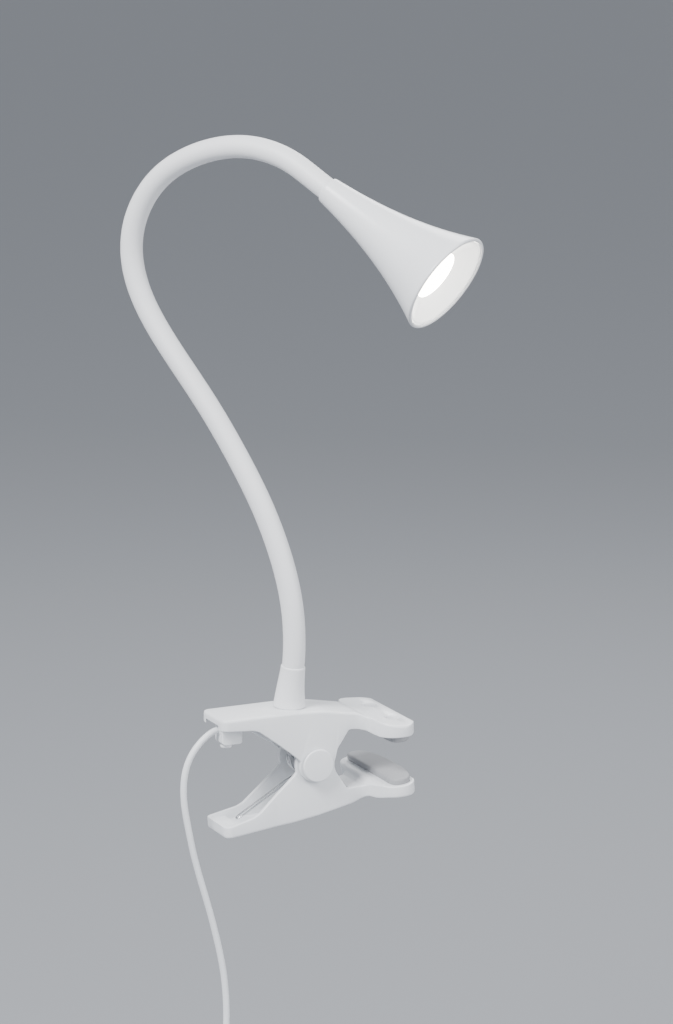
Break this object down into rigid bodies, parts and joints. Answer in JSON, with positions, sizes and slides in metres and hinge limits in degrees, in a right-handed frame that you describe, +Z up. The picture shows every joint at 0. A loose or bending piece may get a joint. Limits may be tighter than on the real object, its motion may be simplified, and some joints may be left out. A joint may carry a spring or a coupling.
{
  "type": "clip-on reading lamp",
  "caption": "White clip-on reading lamp: sprung two-jaw clip, bendable sleeved neck, bell-shaped LED head, and a mains cord with switch and plug-in supply.",
  "frame": {"origin": "on the underside of the upper grip pad, midway between its studs, where it meets the top of the gripped board", "axes": "+X from the handles to the jaw tips, +Y across the clip, +Z up"},
  "size_m": [0.1301, 0.1748, 0.6565],
  "materials": {
    "clip_plastic": "satin moulded white, slightly cool",
    "head_plastic": "satin moulded white, smooth",
    "switch_plastic": "satin moulded white",
    "plug_plastic": "fine-textured moulded white",
    "reflector_plastic": "bright white, semi-gloss",
    "diffuser_lens": "frosted warm-white light diffuser",
    "boot_silicone": "matte white silicone",
    "sleeve_silicone": "smooth matte white silicone",
    "core_steel": "wound steel neck core",
    "cord_jacket": "smooth white round cord jacket",
    "grip_rubber": "mid-grey matte grip rubber",
    "spring_steel": "bright drawn spring wire",
    "pin_steel": "turned steel",
    "screw_white": "white plastic clamp screw",
    "fitting_steel": "zinc-plated steel",
    "led_board_white": "white solder mask",
    "led_phosphor": "yellow phosphor",
    "sink_aluminium": "turned aluminium",
    "wire_red": "red wire insulation",
    "contact_brass": "stamped brass",
    "pin_brass": "turned brass",
    "board_green": "green solder mask",
    "tie_black": "black plastic tie"
  },
  "bodies": {
    "clip": {"upper_jaw": "clip_plastic", "upper_grip_pad": "grip_rubber", "pivot_pin": "pin_steel", "pivot_cap_near": "clip_plastic", "pivot_cap_far": "clip_plastic", "clip_spring": "spring_steel", "cord_clamp": "clip_plastic", "clamp_screw": "screw_white", "lead_in_jaw": "cord_jacket", "base_ferrule": "fitting_steel", "base_nut": "fitting_steel", "neck_boot": "boot_silicone", "neck_core_0": "core_steel", "neck_sleeve_0": "sleeve_silicone", "cord_lead": "cord_jacket", "switch_cover": "switch_plastic", "switch_base": "switch_plastic", "switch_contact": "contact_brass", "cord_link": "cord_jacket", "cord_coil": "cord_jacket", "cord_tie": "tie_black", "cord_tail": "cord_jacket", "plug_relief": "boot_silicone", "plug_cover": "plug_plastic", "plug_base": "plug_plastic", "plug_board": "board_green", "plug_pin_left": "pin_brass", "plug_pin_right": "pin_brass"},
    "lower_jaw_unit": {"lower_jaw": "clip_plastic", "lower_grip_pad": "grip_rubber"},
    "neck_link_1": {"neck_core_1": "core_steel", "neck_sleeve_1": "sleeve_silicone"},
    "neck_link_2": {"neck_core_2": "core_steel", "neck_sleeve_2": "sleeve_silicone"},
    "neck_link_3": {"neck_core_3": "core_steel", "neck_sleeve_3": "sleeve_silicone"},
    "neck_link_4": {"neck_core_4": "core_steel", "neck_sleeve_4": "sleeve_silicone"},
    "neck_link_5": {"neck_core_5": "core_steel", "neck_sleeve_5": "sleeve_silicone"},
    "neck_link_6": {"neck_core_6": "core_steel", "neck_sleeve_6": "sleeve_silicone"},
    "neck_link_7": {"neck_core_7": "core_steel", "neck_sleeve_7": "sleeve_silicone"},
    "neck_link_8": {"neck_core_8": "core_steel", "neck_sleeve_8": "sleeve_silicone"},
    "head": {"neck_core_9": "core_steel", "neck_sleeve_9": "sleeve_silicone", "head_ferrule": "fitting_steel", "head_shade": "head_plastic", "reflector_cone": "reflector_plastic", "diffuser_ring": "reflector_plastic", "diffuser": "diffuser_lens", "led_board": "led_board_white", "led_chip": "led_phosphor", "heat_sink": "sink_aluminium", "head_lead": "wire_red"},
    "rocker": {"switch_rocker": "switch_plastic"}
  },
  "joints": [
    {"name": "jaw_hinge", "type": "hinge", "parent": "clip", "child": "lower_jaw_unit", "pos_m": [-0.0413, 0, -0.0105], "axis": [0, -1, 0], "range_deg": [-30, 20], "deforming": ["clip_spring"]},
    {"name": "neck_bend_1", "type": "hinge", "parent": "clip", "child": "neck_link_1", "pos_m": [-0.04892, -0.0025, 0.04733], "axis": [-0.8443, -0.5358, 0], "range_deg": [-30, 30]},
    {"name": "neck_bend_2", "type": "hinge", "parent": "neck_link_1", "child": "neck_link_2", "pos_m": [-0.05233, 0.00288, 0.08861], "axis": [-0.8443, -0.5358, 0], "range_deg": [-30, 30]},
    {"name": "neck_sway_low", "type": "hinge", "parent": "neck_link_2", "child": "neck_link_3", "pos_m": [-0.06196, 0.01806, 0.12647], "axis": [-0.4572, 0.7204, -0.5216], "range_deg": [-25, 30]},
    {"name": "neck_bend_3", "type": "hinge", "parent": "neck_link_3", "child": "neck_link_4", "pos_m": [-0.07475, 0.03821, 0.16101], "axis": [-0.8443, -0.5358, 0], "range_deg": [-10, 30]},
    {"name": "neck_bend_4", "type": "hinge", "parent": "neck_link_4", "child": "neck_link_5", "pos_m": [-0.08908, 0.06079, 0.19339], "axis": [-0.8443, -0.5358, 0], "range_deg": [-10, 30]},
    {"name": "neck_bend_5", "type": "hinge", "parent": "neck_link_5", "child": "neck_link_6", "pos_m": [-0.09934, 0.07697, 0.23026], "axis": [-0.8443, -0.5358, 0], "range_deg": [-10, 30]},
    {"name": "neck_sway_high", "type": "hinge", "parent": "neck_link_6", "child": "neck_link_7", "pos_m": [-0.0929, 0.0668, 0.26902], "axis": [-0.402, 0.6335, 0.6611], "range_deg": [-25, 30]},
    {"name": "neck_bend_6", "type": "hinge", "parent": "neck_link_7", "child": "neck_link_8", "pos_m": [-0.07356, 0.03634, 0.2893], "axis": [-0.8443, -0.5358, 0], "range_deg": [-12, 30]},
    {"name": "neck_bend_7", "type": "hinge", "parent": "neck_link_8", "child": "head", "pos_m": [-0.05143, 0.00147, 0.28757], "axis": [-0.8443, -0.5358, 0], "range_deg": [-12, 30]},
    {"name": "switch_rock", "type": "hinge", "parent": "clip", "child": "rocker", "pos_m": [-0.086, -0.0046, -0.178], "axis": [1, 0, 0], "range_deg": [-14, 0]}
  ]
}
